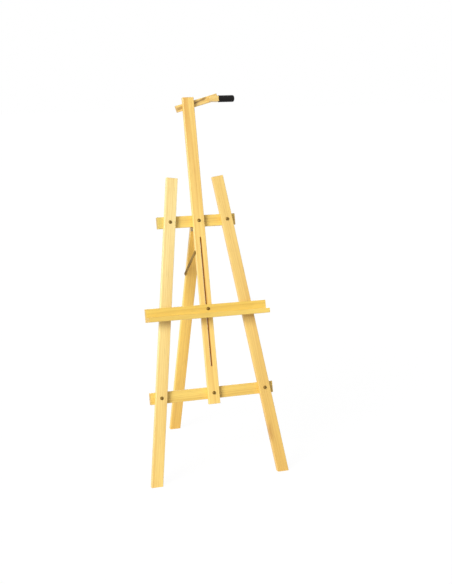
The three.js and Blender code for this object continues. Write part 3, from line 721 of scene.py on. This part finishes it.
# a rubber tube with a thin lip and a closed, rounded end
def addSleeve():
    axes, size = startOf("rubber_sleeve", across, backFrame)
    lip, radius, chamfer = sleeve["lip"], sleeve["radius"], sleeve["lipChamfer"]
    skin = addTurned([(lip - sleeve["lipRounding"], 0), (lip - chamfer, chamfer),
                      (lip, sleeve["lipRounding"]), (lip, sleeve["lipLength"]),
                      (radius, sleeve["lipLength"] + sleeve["step"]),
                      (radius, size.z * 0.5), (radius, size.z - sleeve["endRounding"])]
                     + roundedEnd(radius, size.z, sleeve["endRounding"], sleeve["endSteps"]), 48)
    skin.name = "rubber_sleeve_shaped"
    putInPlace(skin, axes)
    deep = axes.translation + across * sleeve["boreLength"]
    cutAway(skin, [addRod(sleeve["bore"], axes.translation - across * 0.001, deep, 36)])
    smoothFaces(skin)
    standFor(skin, "rubber_sleeve", blackRubber)

addFinger()
addSleeve()
print("finger made")

# every thread's root as a share of its radius, its crest's and root's places in a turn, and its tip
threadForm = {"root": 0.88, "crestAt": 0.1, "rootAt": 0.55, "tip": 0.0008, "tipShare": 0.66}
# a wood screw's point, its radii as shares of the shank's
pointForm = {"length": 0.003, "neck": 0.85, "tip": 0.12}

def threadSteps(radius, start, end, pitch):
    steps = []
    count = max(1, round((end - start) / pitch))
    for i in range(count):
        height = start + (end - start) * i / count
        steps += [(radius, height + pitch * threadForm["crestAt"]),
                  (radius * threadForm["root"], height + pitch * threadForm["rootAt"])]
    return steps

def threadedEnd(radius, length, threadLength, pitch):
    tipStart = length - threadForm["tip"]
    return (threadSteps(radius, length - threadLength, tipStart, pitch)
            + [(radius * threadForm["root"], tipStart), (radius * threadForm["tipShare"], length)])

def pointedEnd(shank, start, length, pitch):
    pointStart = length - pointForm["length"]
    return (threadSteps(shank, start, pointStart, pitch)
            + [(shank * pointForm["neck"], pointStart), (shank * pointForm["tip"], length)])

def domeSteps(radius, height, steps):
    turns = [math.pi / 2 * i / steps for i in range(1, steps + 1)]
    return [(radius * math.sin(turn), height * (1 - math.cos(turn))) for turn in turns]

# copies one finished model to each of its places, and removes it
def setCopies(model, nodes, material=zincSteel, direction=backFrame, y=None):
    smoothFaces(model)
    for node in nodes:
        copy = copyOf(model, node + "_shaped")
        putInPlace(copy, startOf(node, direction, y or besides(direction))[0])
        standFor(copy, node, material)
    bpy.data.objects.remove(model)

boltHead = {"flatTop": 0.02, "domeShare": 0.86, "domeSteps": 8, "rim": 0.0002}

# a domed bolt with its head's top at the origin, threaded over its last part
def addBolt(radius, headRadius, headHeight, length, threadLength, pitch):
    dome = domeSteps(headRadius, headHeight * boltHead["domeShare"], boltHead["domeSteps"])
    rim = boltHead["rim"]
    return addTurned([(headRadius * boltHead["flatTop"], 0)] + dome
                     + [(headRadius, headHeight - rim), (headRadius - rim, headHeight), (radius, headHeight),
                        (radius, length - threadLength)]
                     + threadedEnd(radius, length, threadLength, pitch))

def addStud(radius, length, threadLength, pitch):
    tip = threadForm["tip"]
    return addTurned([(radius - tip, 0), (radius, tip), (radius, length - threadLength)]
                     + threadedEnd(radius, length, threadLength, pitch), 32)

def addWasher(radius, hole, thickness, easing=0.00025):
    washer = addRod(radius, (0, 0, 0), (0, 0, thickness), 48)
    settle(washer)
    cutAway(washer, [addRod(hole, (0, 0, -0.001), (0, 0, thickness + 0.001), 32)])
    easeEdges(washer, easing)
    return washer

hexNut = {"width": 0.013, "height": 0.0065, "turnedShare": 0.7, "turnedSpare": 0.0002, "sink": 0.0006}

# a hexagon nut, its corners turned off on both faces and its bore countersunk
def addNut(bore):
    width, height, spare, sink = hexNut["width"], hexNut["height"], hexNut["turnedSpare"], hexNut["sink"]
    corner = width / math.sqrt(3)
    nut = addRod(corner, (0, 0, 0), (0, 0, height), 6)
    settle(nut)
    slope = (corner - width / 2) * hexNut["turnedShare"]
    blank = addTurned([(width / 2 - spare, 0), (corner + spare, slope), (corner + spare, height - slope),
                       (width / 2 - spare, height)], 48)
    combine(nut, [blank], "INTERSECT")
    cutAway(nut, [addTurned([(bore + sink * 2, -sink), (bore, sink), (bore, height - sink),
                             (bore + sink * 2, height + sink)], 32)])
    return nut

wingNut = {
    "boss": [(0.0074, 0), (0.008, 0.0005), (0.008, 0.0016), (0.0073, 0.0048), (0.0065, 0.0082),
             (0.0058, 0.0089)],
    "bladeSize": (0.005, 0.0028, 0.0072), "bladeMiddle": (0.0065, 0, 0.0048), "smoothing": 3,
    "sweep": [((0.0042, 0, 0.0020), 1.0), ((0.0040, 0, 0.0042), 1.22), ((0.0024, 0, 0.0012), 0.8)],
}

# a turned boss with two wings, each swept up by moving and stretching its outer face
def addWingNut(bore, scale):
    boss = addTurned(wingNut["boss"])
    for side in (0, math.pi):
        blade = addBlock(wingNut["bladeSize"], wingNut["bladeMiddle"])
        settle(blade)
        startEditing(blade)
        selectWhere(blade, "faces", lambda face: face.normal.x > 0.9)
        for move, stretch in wingNut["sweep"]:
            bpy.ops.mesh.extrude_region_move(TRANSFORM_OT_translate={"value": move})
            bpy.ops.transform.resize(value=(1, 1, stretch))
        doneEditing()
        rounding = blade.modifiers.new("rounding", "SUBSURF")
        rounding.levels = rounding.render_levels = wingNut["smoothing"]
        applyModifier(blade, rounding)
        blade.rotation_euler = (0, 0, side)
        settle(blade)
        joinTo(boss, [blade])
    boss.scale = (scale, scale, scale)
    settle(boss)
    cutAway(boss, [addRod(bore, (0, 0, -0.001), (0, 0, 0.02), 32)])
    return boss

# the way a wing nut's wings point, square to its axis
def wingsOf(node):
    middle = measure(node, axesAlong(backFrame, across))[0]
    spots = [vertex.co - middle for vertex in cadNodes[node].data.vertices]
    outward = [spot - backFrame * spot.dot(backFrame) for spot in spots]
    return max(outward, key=lambda away: away.length)

bolts = [
    {"nodes": frameBolts, "thread": "frame", "headRadius": 0.0075, "headHeight": 0.0045,
     "threadLength": 0.012, "pitch": 0.00125},
    {"nodes": ["shelf_bolt"], "thread": "shelf", "headRadius": 0.0075, "headHeight": 0.004,
     "threadLength": 0.018, "pitch": 0.001},
]
studs = [
    {"node": "arm_stud", "thread": "frame", "threadLength": 0.016, "pitch": 0.00125},
    {"node": "finger_stud", "thread": "finger", "threadLength": 0.013, "pitch": 0.001},
]
washers = [
    {"nodes": [bolt.replace("bolt", "washer") for bolt in frameBolts], "thread": "frame", "radius": 0.009},
    {"nodes": ["arm_washer"], "thread": "frame", "radius": 0.012},
    {"nodes": ["shelf_washer"], "thread": "shelf", "radius": 0.012},
    {"nodes": ["finger_spacer"], "thread": "finger", "radius": 0.009},
    {"nodes": ["finger_washer"], "thread": "finger", "radius": 0.009},
]
wingNuts = [
    {"node": "arm_wing_nut", "thread": "frame", "scale": 1.0},
    {"node": "shelf_wing_nut", "thread": "shelf", "scale": 0.8},
    {"node": "finger_wing_nut", "thread": "finger", "scale": 0.8},
]
for kind in bolts:
    model = addBolt(threadRadius[kind["thread"]], kind["headRadius"], kind["headHeight"],
                    lengthOf(kind["nodes"][0]), kind["threadLength"], kind["pitch"])
    setCopies(model, kind["nodes"], bronzedSteel)
for kind in studs:
    length = lengthOf(kind["node"])
    model = addStud(threadRadius[kind["thread"]], length, kind["threadLength"], kind["pitch"])
    setCopies(model, [kind["node"]])
for kind in washers:
    hole = threadRadius[kind["thread"]] + clearance
    setCopies(addWasher(kind["radius"], hole, lengthOf(kind["nodes"][0])), kind["nodes"])
setCopies(addNut(threadRadius["frame"] + clearance), [bolt.replace("bolt", "nut") for bolt in frameBolts])
for kind in wingNuts:
    model = addWingNut(threadRadius[kind["thread"]] + clearance, kind["scale"])
    setCopies(model, [kind["node"]], y=backFrame.cross(wingsOf(kind["node"])))
print("bolts and nuts made")

crossCut = {"widthShare": 0.24, "depth": 0.0018, "middle": 0.0003}

# a countersunk screw with the flat of its head at the origin and a cross cut in it
def addScrew(screw, length):
    head, shank, rim = screw["head"], screw["shank"], screw["rim"]
    piece = addTurned([(head - 0.0001, 0), (head, 0.0001), (head, rim), (shank, rim + head - shank),
                       (shank, screw["smooth"])]
                      + pointedEnd(shank, screw["smooth"], length, screw["pitch"]), 28)
    cutSize = (screw["recess"], head * crossCut["widthShare"], crossCut["depth"])
    cutAway(piece, [addBlock(cutSize, (0, 0, crossCut["middle"]), turn) for turn in (0, math.pi / 2)])
    return piece

roundScrew = {"head": 0.0055, "headHeight": 0.003, "flatTop": 0.03, "domeShare": 0.9, "domeSteps": 7,
              "neck": 0.005, "pitch": 0.0018, "tip": 0.0004,
              "slotWidth": 0.0011, "slotDepth": 0.0030, "slotTurn": 0.6}

# a round-headed screw with the top of its head at the origin and one slot across it
def addRoundScrew(radius, length, pointed):
    head, headHeight, tip = roundScrew["head"], roundScrew["headHeight"], roundScrew["tip"]
    dome = domeSteps(head, headHeight * roundScrew["domeShare"], roundScrew["domeSteps"])
    if pointed:
        neck = headHeight + roundScrew["neck"]
        tail = [(radius, neck)] + pointedEnd(radius, neck, length, roundScrew["pitch"])
    else:
        tail = [(radius, length - tip), (radius - tip, length)]
    piece = addTurned([(head * roundScrew["flatTop"], 0)] + dome + [(head, headHeight), (radius, headHeight)]
                      + tail, 36)
    slotSize = (head * 3, roundScrew["slotWidth"], roundScrew["slotDepth"])
    cutAway(piece, [addBlock(slotSize, turn=roundScrew["slotTurn"])])
    return piece

setCopies(addScrew(shelfScrew, lengthOf("shelf_left_screw")), shelfScrews, direction=-backFrame)
for level, inward in (("upper", -backFrame), ("lower", rearBack)):
    model = addScrew(hingeScrew, lengthOf("hinge_upper_left_screw"))
    setCopies(model, hingeScrewsOn[level], direction=inward)

hinge = {"length": 0.050, "knuckles": 5, "knuckle": 0.003, "pin": 0.0015, "leaf": 0.0015, "depth": 0.016,
         "plateGap": 0.0036, "corner": 0.0022, "leafEasing": 0.0002, "knuckleEasing": 0.00025,
         "pinEasing": 0.0005, "webOverlap": 0.001}

# one leaf about a pin along x at the origin, its plate standing up z on the y side
def addLeaf(owned):
    length, plateGap, overlap = hinge["length"], hinge["plateGap"], hinge["webOverlap"]
    step = length / hinge["knuckles"]
    half = (step - clearance) / 2
    tall = hinge["depth"] - plateGap
    level = hinge["knuckle"] - hinge["leaf"] / 2
    leaf = addBlock((length, hinge["leaf"], tall), (0, level, plateGap + tall / 2))
    settle(leaf)

    def onCorner(edge):
        first, second = [vertex.co for vertex in edge.verts]
        return min(first.z, second.z) > hinge["depth"] - 1e-5 and abs(first.x - second.x) < 1e-5

    startEditing(leaf)
    bevelWhere(leaf, onCorner, hinge["corner"], 5)
    doneEditing()
    easeEdges(leaf, hinge["leafEasing"], angle=60)
    parts = []
    for i in owned:
        middle = -length / 2 + step * (i + 0.5)
        knuckle = addRod(hinge["knuckle"], (middle - half, 0, 0), (middle + half, 0, 0))
        easeEdges(knuckle, hinge["knuckleEasing"])
        web = addBlock((half * 2 - 0.0001, hinge["leaf"] - 0.00002, plateGap + overlap),
                       (middle, level, (plateGap + overlap) / 2))
        parts += [knuckle, web]
    joinTo(leaf, parts)
    cutAway(leaf, [addRod(hinge["pin"] + clearance, (-length, 0, 0), (length, 0, 0), 24)])
    return leaf

pinMiddle = measure("hinge_pin", axesAlong(upFrame, backFrame))[0]
for level, owned, up, back, inward in (("upper", (0, 2, 4), upFrame, backFrame, -backFrame),
                                       ("lower", (1, 3), rearDown, rearBack, rearBack)):
    leaf = addLeaf(owned)
    leaf.name = f"hinge_{level}_leaf_shaped"
    putInPlace(leaf, axesAlong(up, back, pinMiddle))
    cutAway(leaf, [sinkFor(screw, inward, hingeScrew) for screw in hingeScrewsOn[level]])
    smoothFaces(leaf)
    standFor(leaf, f"hinge_{level}_leaf", zincSteel)

pinHalf = across * hinge["length"] / 2
pin = addRod(hinge["pin"], pinMiddle - pinHalf, pinMiddle + pinHalf, 28)
pin.name = "hinge_pin_shaped"
settle(pin)
easeEdges(pin, hinge["pinEasing"], 3)
smoothFaces(pin)
standFor(pin, "hinge_pin", zincSteel)

stay = {"width": 0.016, "thickness": 0.002, "easing": 0.0005, "slotSpare": 0.001, "washer": 0.006}

# the strip between its pivot and its runner, slotted for the runner's travel
def addStay():
    axes = axesAlong(across, upFrame)
    middle = measure("stay_arm", axes)[0]
    spots = [measure(node, axes)[0] for node in ("stay_pivot_screw", "stay_runner_screw")]
    pivot, runner = [Vector((middle.x, spot.y, spot.z)) for spot in spots]
    along = (runner - pivot).normalized()
    strip = addRoundEnded(stay["width"], stay["thickness"], pivot, runner, across)
    strip.name = "stay_arm_shaped"
    easeEdges(strip, stay["easing"], 3)
    bore = threadRadius["stay"] + clearance
    low, high = joints["stay_runner_slide"]["range_m"]
    slotEnd = runner - along * (abs(high - low) + stay["slotSpare"])
    cutAway(strip, [addRod(bore, pivot - across * 0.01, pivot + across * 0.01),
                    addRoundEnded(bore * 2, 0.02, slotEnd, runner, across)])
    smoothFaces(strip)
    standFor(strip, "stay_arm", brownedSteel)

addStay()
for node, pointed in (("stay_pivot_screw", True), ("stay_runner_screw", False)):
    model = addRoundScrew(threadRadius["stay"], lengthOf(node, across), pointed)
    setCopies(model, [node], brownedSteel, across)
stayWashers = ["stay_pivot_washer", "stay_runner_washer"]
model = addWasher(stay["washer"], threadRadius["stay"] + clearance, lengthOf(stayWashers[0], across))
setCopies(model, stayWashers, brownedSteel, across)
print("hinge and stay made")

studio = {"floorSize": 40.0, "floorDrop": 0.0005, "floorColor": (0.82, 0.82, 0.82, 1), "floorShadow": 0.07,
          "floorGlow": 1.025, "skyLight": 0.3}
lamps = {"keyLamp": {"strength": 3.6, "width": 30.0, "travel": (1.12, 0.846, -0.691), "place": (-2, -2, 3)},
         "backLamp": {"strength": 1.2, "width": 40.0, "travel": (-0.5, -1.0, -0.4), "place": (2, 3, 2)}}

def seenDirectly(tree):
    rays = addNode(tree, "LightPath")
    shown = maths(tree, "ADD", rays.outputs["Is Camera Ray"], rays.outputs["Is Glossy Ray"])
    return maths(tree, "ADD", shown, rays.outputs["Is Transmission Ray"], clamp=True)

deselectAll()
bpy.ops.mesh.primitive_plane_add(size=studio["floorSize"], location=(0, 0, -studio["floorDrop"]))
floor = bpy.context.object
floor.name = "floor"
floorPaint, floorTree, surface = emptyMaterial("floorPaint")
feed(floorTree, surface, {"Base Color": studio["floorColor"], "Roughness": 1.0, "Specular IOR Level": 0.0})
glow = addNode(floorTree, "Emission", {"Strength": studio["floorGlow"]})
share = maths(floorTree, "MULTIPLY", seenDirectly(floorTree), 1 - studio["floorShadow"])
matte = floorTree.nodes["Principled BSDF"].outputs[0]
mixed = addNode(floorTree, "MixShader", {0: share, 1: matte, 2: glow.outputs[0]})
feed(floorTree, floorTree.nodes["Material Output"].inputs, {"Surface": mixed.outputs[0]})
floor.data.materials.append(floorPaint)

world = bpy.data.worlds.new("studioLight")
world.use_nodes = True
bpy.context.scene.world = world
worldTree = world.node_tree
sky = worldTree.nodes["Background"]
brightness = addUp(worldTree, studio["skyLight"], (seenDirectly(worldTree), 1 - studio["skyLight"]))
feed(worldTree, sky.inputs, {"Color": (1, 1, 1, 1), "Strength": brightness})

for name, values in lamps.items():
    bpy.ops.object.light_add(type="SUN", location=values["place"])
    lamp = bpy.context.object
    lamp.name = name
    lamp.data.energy = values["strength"]
    lamp.data.angle = math.radians(values["width"])
    lamp.rotation_euler = Vector(values["travel"]).to_track_quat("-Z", "Y").to_euler()

viewpoint = {"place": (-1.5636, -4.8833, 1.9196), "pitch": -12.901, "heading": -19.252, "lens": 94.96}
turn = (math.radians(90 + viewpoint["pitch"]), 0, math.radians(viewpoint["heading"]))
bpy.ops.object.camera_add(location=viewpoint["place"], rotation=turn)
camera = bpy.context.object
camera.name = "camera"
camera.data.sensor_fit = "HORIZONTAL"
camera.data.sensor_width = 36
camera.data.lens = viewpoint["lens"]
bpy.context.scene.camera = camera
bpy.context.scene.view_settings.view_transform = "Standard"
print("studio set")
